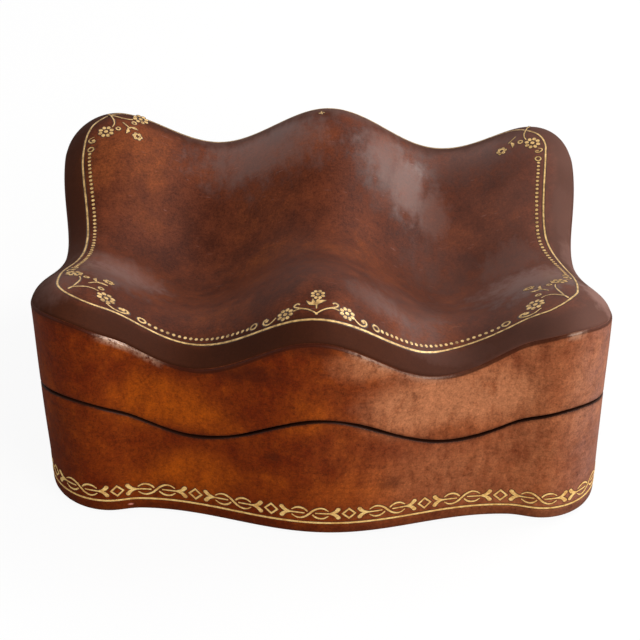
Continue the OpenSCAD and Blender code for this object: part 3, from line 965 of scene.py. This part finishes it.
# Shader sums: a wire is one output of a node, and sums of wires add Math nodes
class Wire:
    def __init__(self, tree, out=None):
        self.tree = tree
        self.out = out

    def add(self, kind, settings=None, inputs=None, out=0):
        node = self.tree.nodes.new("ShaderNode" + kind)
        for name, value in (settings or {}).items():
            setattr(node, name, value)
        for name, value in (inputs or {}).items():
            socket = node.inputs[name]
            if isinstance(value, Wire):
                self.tree.links.new(value.out, socket)
            else:
                socket.default_value = (*value, 1) if socket.type == "RGBA" else value
        return Wire(self.tree, node.outputs[out])

    def math(self, operation, *values):
        return self.add("Math", {"operation": operation}, dict(enumerate(values)))

    def __add__(self, other):
        return self.math("ADD", self, other)

    def __radd__(self, other):
        return self.math("ADD", other, self)

    def __sub__(self, other):
        return self.math("SUBTRACT", self, other)

    def __rsub__(self, other):
        return self.math("SUBTRACT", other, self)

    def __mul__(self, other):
        return self.math("MULTIPLY", self, other)

    def __rmul__(self, other):
        return self.math("MULTIPLY", other, self)

    def highest(self, other):
        return self.math("MAXIMUM", self, other)

    def swing(self, amount):
        # a noise of about a half becomes one that goes either way from nought
        return (self - 0.5) * amount

    def ease(self, start, end):
        # 0 at start, 1 at end and a soft step between
        values = {"Value": self, "From Min": start, "From Max": end}
        return self.add("MapRange", {"interpolation_type": "SMOOTHSTEP"}, values)

    def tint(self, colour, other):
        # this wire is the share of other that is mixed into colour
        return self.add("Mix", {"data_type": "RGBA"}, {0: self, 6: colour, 7: other}, 2)

    def darken(self, amount):
        # this wire is a colour and amount the share that is left of it
        grey = self.add("CombineColor", None, {0: amount, 1: amount, 2: amount})
        settings = {"data_type": "RGBA", "blend_type": "MULTIPLY"}
        return self.add("Mix", settings, {0: 1.0, 6: self, 7: grey}, 2)

    def noise(self, size, detail, rough):
        # this wire is a place in millimetres and size the size of a spot
        values = {"Vector": self, "Scale": 1.0 / size, "Detail": detail, "Roughness": rough}
        return self.add("TexNoise", None, values)

    def pores(self, size):
        # 0 in the middle of a pore, 1 between pores
        return self.add("TexVoronoi", None, {"Vector": self, "Scale": 1.0 / size}).ease(0.0, 0.5)

    def scaled(self, x, y, z):
        return self.add("VectorMath", {"operation": "MULTIPLY"}, {0: self, 1: (x, y, z)})

    def moved(self, x, y, z):
        return self.add("VectorMath", {"operation": "ADD"}, {0: self, 1: (x, y, z)})

    def length(self):
        return self.add("VectorMath", {"operation": "LENGTH"}, {0: self}, 1)

    def part(self, number):
        return self.add("SeparateXYZ", None, {0: self}, number)

    def mark(self, name):
        return self.add("Attribute", {"attribute_name": name}, out=2)


def newMaterial(name, sockets):
    material = bpy.data.materials.new(name)
    material.use_nodes = True
    tree = material.node_tree
    shader = tree.nodes["Principled BSDF"]
    for socket, value in sockets.items():
        shader.inputs[socket].default_value = value
    wire = Wire(tree)
    place = wire.add("TexCoord", out=3).scaled(1 / mm, 1 / mm, 1 / mm)
    return material, wire, shader, place


def feed(shader, **wires):
    for socket, wire in wires.items():
        wire.tree.links.new(wire.out, shader.inputs[socket.replace("_", " ")])


def bump(wire, height, strength, distance):
    return wire.add("Bump", None, {"Height": height, "Strength": strength, "Distance": distance})


poolEdge = (1.0, 0.25)  # from nothing to the full share, as parts of the reach


def pool(place, middle, reach, stray):
    # a soft pool: 1 in its middle, 0 past its reach, which strays
    centred = place.moved(*(-part for part in middle))
    away = centred.scaled(*(1 / part for part in reach)).length() + stray
    return away.ease(*poolEdge)


def addPools(start, place, rows, stray):
    for middle, reach, share in rows:
        start = start + pool(place, middle, reach, stray) * share
    return start


def highestPool(place, rows, stray):
    highest = 0.0
    for middle, reach, share in rows:
        highest = (pool(place, middle, reach, stray) * share).highest(highest)
    return highest


# Antiqued calf of the walls. Colours are linear; a pool is its middle, reach and share, in
# millimetres: the pools make the leather paler, the shades are painted shade and a few dark
# spots and darken it like an edge, the sheens are a painted sheen, the rubs pale it with wear
# and painted glints, and the nick is bare. Grain is what each noise adds to it.
wallFinish = {
    "deep": (0.112, 0.0130, 0.0010),
    "rust": (0.175, 0.028, 0.0018),
    "amber": (0.315, 0.060, 0.0020),
    # the colour of the painted sheen
    "paintedRoseSheen": (0.37, 0.136, 0.060),
    # a darker leather with a painted window sheen
    "mauveSheen": (0.20, 0.088, 0.068),
    # edge is the dark of the painted shade under the top's edge and of the darker foot; seam is the painted
    # shade in the seam
    "edge": (0.034, 0.0062, 0.0020),
    "seam": (0.022, 0.0062, 0.0028),
    # pale of rubbed wear and of painted glints
    "rubbedAndGlint": (0.50, 0.29, 0.19),
    "bare": (0.62, 0.24, 0.18),
    "pools": [
        ((-64, -85, 60), (32, 60, 20), 0.63), ((-44, -88, 52), (24, 60, 12), 0.35),
        ((-72, -85, 26), (22, 60, 14), 0.245), ((-48, -88, 24), (24, 60, 20), 0.63),
        ((-20, -98, 24), (20, 50, 12), 0.21), ((-6, -98, 62), (20, 50, 14), 0.245),
        ((58, -90, 58), (44, 60, 20), 0.35), ((30, -95, 26), (40, 60, 18), 0.28),
        ((92, -85, 30), (22, 60, 20), 0.245), ((116, 10, 40), (40, 60, 26), 0.28),
        ((-116, 20, 50), (40, 60, 26), 0.245), ((40, 86, 55), (50, 40, 26), 0.28),
        ((-60, 86, 30), (50, 40, 22), 0.28),
    ],
    # painted shade under the top's edge, then a few small dark spots
    "paintedShadeAndSpots": [
        ((-36, -88, 81), (30, 60, 9), 0.6), ((-4, -98, 97), (26, 60, 8), 0.6),
        ((-106, -80, 30), (16, 30, 40), 0.25), ((30, -98, 26), (7, 40, 5), 0.5),
        ((-62, -90, 14), (7, 40, 4), 0.5), ((-18, -98, 40), (5, 40, 4), 0.45),
    ],
    # painted sheen where the lamps on the right catch the wall, and under the top's edge
    "paintedWallSheens": [
        ((38, -95, 64), (30, 50, 20), 0.85), ((66, -88, 66), (30, 50, 20), 0.7),
        ((48, -92, 26), (36, 50, 22), 0.2), ((108, -72, 66), (16, 40, 34), 0.5),
        ((22, -98, 88), (26, 50, 12), 0.7),
    ],
    # rubbed wear with painted glints, and painted highlights along the shoulder under the top
    "rubsAndGlints": [
        ((-80, -84, 88), (9, 40, 40), 0.9), ((-68, -86, 84), (9, 40, 40), 0.5),
        ((20, -96, 98), (14, 40, 40), 0.4), ((40, -92, 90), (16, 40, 40), 0.3),
        ((99, -78, 88), (5, 30, 40), 0.5),
    ],
    "nicks": [((-76.4, -84.0, 4.4), (1.6, 7, 0.7), 0.95)],
    # painted sheen that grows towards the right, where the lamps are
    "paintedSheenRightward": (-20.0, 120.0, 0.55),  # it turns rose from left to right, from, to and how far
    # where the painted window sheen starts and where it is full, at the right end
    "mauveSheenFrom": (92.0, 116.0),
    # painted shade: the light comes from the right, so the edge under the top is shaded on the left
    "shaded": (16.0, -12.0, 0.45),  # the edge under the top is dark on the left only
    "crease": (5.9, 6.3, 6.4, 6.9),  # a faint pressed line under the top: its start, full width and end
}


def makeWallLeather(look):
    material, wire, shader, place = newMaterial("wallLeather", {"Specular IOR Level": 0.10})
    drift = place.noise(30, 2, 0.5)
    mottle = place.moved(40, 0, 9).noise(7, 4, 0.6)
    brushed = place.scaled(0.3, 0.3, 1.5).noise(3.5, 4, 0.65)
    runs = place.moved(0, 0, 50).scaled(1, 1, 0.4).noise(4.5, 4, 0.7)
    specks = place.noise(1.5, 3, 0.75)
    dust = place.moved(3, 8, 0).noise(0.7, 2, 0.7)
    stray = mottle.swing(0.7)
    across = place.part(0)
    fromArris, fromSeam, fromFoot = (wire.mark(name) for name in ("fromArris", "fromSeam", "fromFoot"))

    light = 0.21 + drift.ease(0.38, 0.68).swing(0.3) + mottle.swing(1.05) + runs.swing(0.5)
    light = addPools(light, place, look["pools"], stray)
    colour = light.ease(-0.1, 0.55).tint(look["deep"], look["rust"])
    colour = light.ease(0.30, 1.05).tint(colour, look["amber"])
    # painted sheen: rose, growing towards the right and strongest in the sheen pools
    left, right, far = look["paintedSheenRightward"]
    paintedRoseSheen = addPools(across.ease(left, right) * far, place, look["paintedWallSheens"], stray)
    colour = (paintedRoseSheen * ((mottle + runs - 1.0) * 1.6 + 0.95)).tint(colour, look["paintedRoseSheen"])
    # painted window sheen over darker leather at the right end
    colour = (across.ease(*look["mauveSheenFrom"]) * (mottle * 1.5 - 0.1)).tint(colour, look["mauveSheen"])
    grain = specks.swing(1.45) + dust.swing(1.2) + brushed.swing(0.5) + runs.swing(0.5) + 1.05

    # painted shade darkens the wall under the top's edge, more on the left and to a dark line in the crease,
    # and on the rims at the seam; worn only makes these edges ragged, and the wall also darkens towards the
    # foot
    worn = mottle.swing(6)
    right, left, far = look["shaded"]
    edge = (fromArris + worn).ease(5.5, 0.8) * (0.1 + across.ease(right, left) * far)
    edge = edge.highest((fromSeam + worn * 0.35).ease(2.0, 0.3) * 0.55)
    edge = edge.highest((fromFoot + worn * 0.3).ease(7.0, 4.0) * 0.5).highest(fromArris.ease(2.3, 1.3))
    edge = edge.highest(highestPool(place, look["paintedShadeAndSpots"], stray))
    colour = (edge * 0.85).tint(colour.darken(grain), look["edge"])
    # rubbed places: real wear that the coat makes glossy, with painted glints and a painted highlight on the
    # shoulder under the top's edge
    rubbedAndGlint = highestPool(place, look["rubsAndGlints"], runs.swing(1.6))
    rubbedAndGlint = rubbedAndGlint * fromArris.ease(5.0, 2.0) * (runs * 0.5 + specks * 0.5).ease(0.40, 0.56)
    colour = rubbedAndGlint.tint(colour, look["rubbedAndGlint"])
    # painted shade in the seam
    colour = (fromSeam + dust.swing(0.8)).ease(0.65, 0.2).tint(colour, look["seam"])
    colour = highestPool(place, look["nicks"], dust.swing(0.4)).tint(colour, look["bare"])

    start, full, fading, end = look["crease"]
    crease = fromArris.ease(start, full) * fromArris.ease(end, fading) + rubbedAndGlint * runs * 4
    height = place.pores(0.5) * 0.25 + specks * 0.35 + brushed * 0.8 + mottle - crease * 0.5
    rough = 0.40 + mottle * 0.16 + specks * 0.06
    lit = bump(wire, height, 0.35, 0.00012)
    feed(shader, Base_Color=colour, Coat_Weight=rubbedAndGlint, Roughness=rough, Normal=lit)
    return material


# The top's leather is darker and waxed in places; a pale haze on it is a painted sheen, and its
# border darkens with painted shade towards the arris
topFinish = {
    "deep": (0.060, 0.0130, 0.0048),
    "brown": (0.098, 0.0225, 0.0080),
    "rust": (0.155, 0.038, 0.0100),
    # the dark of the painted shade on the border
    "edge": (0.034, 0.0088, 0.0030),
    # pale of the painted sheen and of the scratches
    "scratchAndSheen": (0.24, 0.130, 0.108),
    "pools": [
        ((-84, 50, 80), (36, 60, 60), 0.45), ((-30, 10, 80), (26, 60, 60), 0.21),
        ((8, 10, 80), (30, 60, 60), 0.21), ((-30, -40, 80), (36, 30, 60), 0.18),
        ((92, 30, 80), (16, 40, 60), 0.12),
    ],
    "waxed": [
        ((34, 56, 80), (26, 32, 60), 0.22), ((90, -34, 80), (34, 26, 60), 0.9),
        ((-86, -36, 80), (26, 22, 60), 0.8), ((-26, 66, 90), (40, 26, 60), 0.35),
        ((70, 70, 80), (40, 24, 60), 0.4), ((36, -50, 80), (20, 40, 60), 0.4),
    ],
    # painted sheen where the top catches the bright room at a slant
    "paintedTopSheens": [
        ((30, 62, 80), (14, 22, 60), 0.3), ((41, 50, 80), (13, 24, 60), 0.36),
        ((53, 38, 80), (12, 20, 60), 0.3), ((88, -24, 80), (34, 24, 60), 0.45),
        ((112, -4, 80), (11, 44, 60), 0.4), ((-83, -22, 80), (26, 20, 60), 0.4),
        ((22, -64, 80), (20, 16, 60), 0.25), ((88, 36, 80), (20, 26, 60), 0.2),
        ((-20, 62, 80), (44, 26, 60), 0.3), ((109, 28, 80), (9, 44, 60), 0.25),
        ((0, 82, 80), (80, 12, 60), 0.3), ((60, 8, 80), (32, 40, 60), 0.15),
        ((112, -54, 80), (12, 26, 60), 0.75), ((60, -80, 80), (50, 8, 60), 0.14),
        ((84, 2, 80), (24, 26, 60), 0.3), ((-104, -60, 80), (12, 22, 60), 0.25),
    ],
    "sheenHazeRightward": (10.0, 125.0),  # the painted sheen gathers from left to right
    "border": (14.0, 7.0),
}


def makeTopLeather(look):
    sockets = {"Specular IOR Level": 0.07, "Coat Roughness": 0.34}
    material, wire, shader, place = newMaterial("topLeather", sockets)
    drift = place.noise(34, 2, 0.5)
    mottle = place.moved(7, 30, 0).noise(8, 4, 0.6)
    streaks = place.scaled(1, 0.3, 1).noise(4, 4, 0.65)
    specks = place.noise(1.3, 3, 0.75)
    dust = place.moved(3, 8, 0).noise(0.7, 2, 0.7)
    scratches = place.scaled(0.07, 1, 0.3).noise(0.9, 1, 0.5)

    light = 0.15 + drift.ease(0.38, 0.68).swing(0.4) + mottle.swing(1.1) + streaks.swing(0.4)
    light = addPools(light, place, look["pools"], mottle.swing(0.8))
    colour = light.ease(-0.2, 0.45).tint(look["deep"], look["brown"])
    colour = light.ease(0.25, 1.0).tint(colour, look["rust"])
    grain = specks.swing(1.4) + dust.swing(1.2) + mottle.swing(0.5) + streaks.swing(0.4) + 1.0
    # painted shade: the rolled border darkens towards the arris; the same mask makes it rougher and unwaxed
    edge = (wire.mark("fromArris") + mottle.swing(7)).ease(*look["border"])
    colour = (edge * (0.82 + mottle.swing(0.4))).tint(colour.darken(grain), look["edge"])

    waxed = addPools(0.0, place, look["waxed"], mottle.swing(0.9) + streaks.swing(0.8))
    # painted sheen: a haze growing to the right, and pools of it, with pale scratches over it
    sheenHaze = place.part(0).ease(*look["sheenHazeRightward"]) * (0.08 + drift * 0.3)
    paintedSheenMask = highestPool(place, look["paintedTopSheens"], mottle.swing(0.7) + streaks.swing(0.9)).highest(sheenHaze)
    scratched = scratches.ease(0.70, 0.76) * mottle.ease(0.50, 0.62) * (1 - edge) * 0.35
    colour = scratched.tint(paintedSheenMask.tint(colour, look["scratchAndSheen"]), look["scratchAndSheen"])

    height = place.pores(0.5) * 0.25 + specks * 0.35 + mottle
    rough = 0.46 + mottle * 0.14 + specks * 0.06 + edge * 0.15
    lit = bump(wire, height, 0.35, 0.00012)
    feed(shader, Base_Color=colour, Coat_Weight=waxed * (1 - edge), Roughness=rough, Normal=lit)
    return material


# Plain finishes mix broad and fine spots. Spots are size, detail and roughness, and may be
# drawn out; shares are what each adds to the mix, and turn is where it goes from dark to
# pale. Gloss is the roughness, and what broad, fine and the mix add to it.
goldSpots = {
    "sockets": {"Metallic": 0.2}, "broad": (2.4, 4, 0.65), "fine": (0.45, 2, 0.6), "shares": (0.7, 0.3),
    "turn": (0.36, 0.62), "gloss": (0.55, 0, 0, -0.16), "bump": (0.5, 0.00009),
}
# leather round the gold: darkened by the hot tool, with painted shade of the impression
scorchAndShadeSpots = {
    "sockets": {"Roughness": 0.45, "Specular IOR Level": 0.3}, "broad": (2.5, 3, 0.6), "fine": (0.8, 3, 0.5),
    "shares": (1, 0), "turn": (0.3, 0.7), "bump": (0.3, 0.00006),
}
finishes = {
    # the foot's gold is mostly non-metal, and its pale colours are a painted shine of the leaf
    "footGold": {"dark": (0.66, 0.34, 0.085), "pale": (1.0, 0.71, 0.27), **goldSpots},
    "lidGold": {"dark": (0.28, 0.15, 0.040), "pale": (0.74, 0.475, 0.18), **goldSpots},
    "wallScorchAndShade": {"dark": (0.055, 0.013, 0.005), "pale": (0.1155, 0.0273, 0.0105), **scorchAndShadeSpots},
    "topScorchAndShade": {"dark": (0.022, 0.0065, 0.0035), "pale": (0.0462, 0.01365, 0.00735), **scorchAndShadeSpots},
    "liningSuede": {
        "sockets": {"Roughness": 0.95, "Specular IOR Level": 0.15, "Sheen Weight": 0.35},
        "broad": (14, 4, 0.6), "fine": (0.35, 3, 0.7), "shares": (0.6, 0.45), "turn": (0.3, 0.75),
        "dark": (0.10, 0.045, 0.018), "pale": (0.22, 0.11, 0.05), "bump": (0.6, 0.00015),
    },
    "frameWood": {
        "sockets": {"Roughness": 0.7}, "broad": (4.0, 4, 0.6), "fine": (0.6, 3, 0.6), "shares": (0.7, 0.4),
        "drawn": ((0.12, 1, 1), (0.05, 1, 1)), "turn": (0.35, 0.75),
        "dark": (0.30, 0.17, 0.075), "pale": (0.56, 0.37, 0.18), "bump": (0.3, 0.0002),
    },
    "greyCard": {
        "sockets": {"Roughness": 0.85}, "broad": (0.9, 3, 0.7), "fine": (0.9, 3, 0.7), "shares": (0.5, 0.5),
        "turn": (0.3, 0.7), "dark": (0.28, 0.25, 0.20), "pale": (0.42, 0.38, 0.31), "bump": (0.3, 0.0001),
    },
    "hingeBrass": {
        "sockets": {"Metallic": 1.0}, "broad": (5, 4, 0.6), "fine": (0.4, 2, 0.5), "shares": (1, 0),
        "drawn": ((1, 1, 1), (0.1, 1, 1)), "turn": (0.35, 0.65), "gloss": (0.25, 0.18, 0.08, 0),
        "dark": (0.48, 0.30, 0.10), "pale": (0.76, 0.54, 0.22), "bump": (0.15, 0.00005),
    },
}


def makeFinish(name):
    look = finishes[name]
    material, wire, shader, place = newMaterial(name, look["sockets"])
    drawn = look.get("drawn", ((1, 1, 1), (1, 1, 1)))
    broad = place.scaled(*drawn[0]).noise(*look["broad"])
    fine = place.scaled(*drawn[1]).noise(*look["fine"])
    mix = (broad * look["shares"][0] + fine * look["shares"][1]).ease(*look["turn"])
    feed(shader, Base_Color=mix.tint(look["dark"], look["pale"]), Normal=bump(wire, fine, *look["bump"]))
    if "gloss" in look:
        rough, byBroad, byFine, byMix = look["gloss"]
        feed(shader, Roughness=rough + broad * byBroad + fine * byFine + mix * byMix)
    return material


def dress(material, pieces):
    for piece in pieces:
        piece.data.materials.clear()
        piece.data.materials.append(material)


def cadNodes(*endings):
    return [node for name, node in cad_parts.items() if name.endswith(endings)]


dress(makeWallLeather(wallFinish), skins[:2])
dress(makeTopLeather(topFinish), skins[2:])
dress(makeFinish("footGold"), footPieces[:1])
dress(makeFinish("lidGold"), topPieces[::2])
dress(makeFinish("wallScorchAndShade"), footPieces[1:])
dress(makeFinish("topScorchAndShade"), topPieces[1::2])
dress(makeFinish("liningSuede"), linings)
dress(makeFinish("frameWood"), [board] + cadNodes("_rail", "_blocks", "_board", "base_lip"))
dress(makeFinish("greyCard"), cadNodes("_card"))
dress(makeFinish("hingeBrass"), cadNodes("_leaf", "_pin", "_screws"))
print("materials made")

# Where the camera stands: what it looks at and how far off, in millimetres, its turns in
# degrees, and its focal length in parts of the picture's width
camera = {
    "target": (1.87, 0.0, 40.87), "distance": 771.6, "elevation": 35.09, "yaw": 1.96, "roll": 2.28,
    "focal": 1740.5, "picture": 640, "sensor": 36.0, "nearest": 0.01, "farthest": 50,
}


def addObject(name, data):
    thing = bpy.data.objects.new(name, data)
    bpy.context.scene.collection.objects.link(thing)
    return thing


def placeCamera(look):
    data = bpy.data.cameras.new("camera")
    data.sensor_width = look["sensor"]
    data.lens = look["focal"] / look["picture"] * look["sensor"]
    data.clip_start = look["nearest"]
    data.clip_end = look["farthest"]
    lens = addObject("camera", data)
    elevation, yaw, roll = (math.radians(look[name]) for name in ("elevation", "yaw", "roll"))
    away = look["distance"] * math.cos(elevation)
    x, y, z = look["target"]
    rise = look["distance"] * math.sin(elevation)
    lens.location = ((x - away * math.sin(yaw)) * mm, (y - away * math.cos(yaw)) * mm, (z + rise) * mm)
    lens.rotation_mode = "QUATERNION"
    aim = Euler((math.pi / 2 - elevation, 0, -yaw)).to_quaternion()
    lens.rotation_quaternion = aim @ Quaternion((0, 0, 1), roll)
    bpy.context.scene.camera = lens


# Soft boxes: place in metres, size, power in watts and colour
lamps = {
    "windowRight": {"place": (0.85, 0.42, 0.95), "size": 0.75, "power": 14, "colour": (1.0, 0.98, 0.95)},
    "frontRight": {"place": (0.85, -0.95, 0.55), "size": 0.8, "power": 15, "colour": (1.0, 0.98, 0.96)},
    "leftFill": {"place": (-1.15, -0.35, 0.6), "size": 0.8, "power": 5, "colour": (1.0, 0.98, 0.96)},
}
lampsAim = Vector((0, 0, 0.05))


def placeLamps():
    for name, look in lamps.items():
        data = bpy.data.lights.new(name, "AREA")
        data.energy = look["power"]
        data.size = look["size"]
        data.color = look["colour"]
        lamp = addObject(name, data)
        lamp.location = look["place"]
        lamp.rotation_euler = (lampsAim - lamp.location).to_track_quat("-Z", "Y").to_euler()


# The floor looks white to the camera and is a grey one to the light that bounces
paperFloor = {
    "size": 12, "drop": 0.0002, "paper": (0.86, 0.86, 0.86), "lift": 0.92, "ground": (0.30, 0.27, 0.24),
}


def makeFloor(look):
    clearSelection()
    bpy.ops.mesh.primitive_plane_add(size=look["size"], location=(0, 0, -look["drop"]))
    floor = bpy.context.object
    floor.name = "floor"
    material, wire, shader, place = newMaterial("paperFloor", {"Roughness": 0.9, "Specular IOR Level": 0.0})
    seen = wire.add("LightPath", out=0)
    feed(shader, Base_Color=seen.tint(look["ground"], look["paper"]))
    glow = wire.add("Emission", None, {"Color": (1, 1, 1)})
    paper = Wire(wire.tree, shader.outputs[0])
    both = wire.add("MixShader", None, {0: seen * look["lift"], 1: paper, 2: glow})
    feed(wire.tree.nodes["Material Output"], Surface=both)
    dress(material, [floor])


# What the box reflects is a bright room behind it and a darker one in front
room = {"fillLeft": 0.30, "fillRight": 0.62, "front": 0.05, "back": 1.15, "window": 0.9}


def makeRoom(look):
    world = bpy.data.worlds.new("studio")
    bpy.context.scene.world = world
    world.use_nodes = True
    wire = Wire(world.node_tree)
    way = wire.add("TexCoord", out=0)
    side = way.part(0)
    seen = wire.add("LightPath", out=0)
    mirror = wire.add("LightPath", out=3).highest(wire.add("LightPath", out=6))
    bright = way.part(1).ease(0.0, 0.8).highest(side.ease(0.25, 0.9) * look["window"])
    sky = look["front"] + (look["back"] - look["front"]) * bright
    fill = look["fillLeft"] + (look["fillRight"] - look["fillLeft"]) * side.ease(-0.6, 0.8)
    level = fill * (1 - seen.highest(mirror)) + sky * mirror * (1 - seen) + seen
    background = world.node_tree.nodes["Background"]
    background.inputs["Color"].default_value = (1, 1, 1, 1)
    feed(background, Strength=level)


placeCamera(camera)
placeLamps()
makeFloor(paperFloor)
makeRoom(room)
bpy.context.scene.view_settings.view_transform = "Standard"
print("studio made")
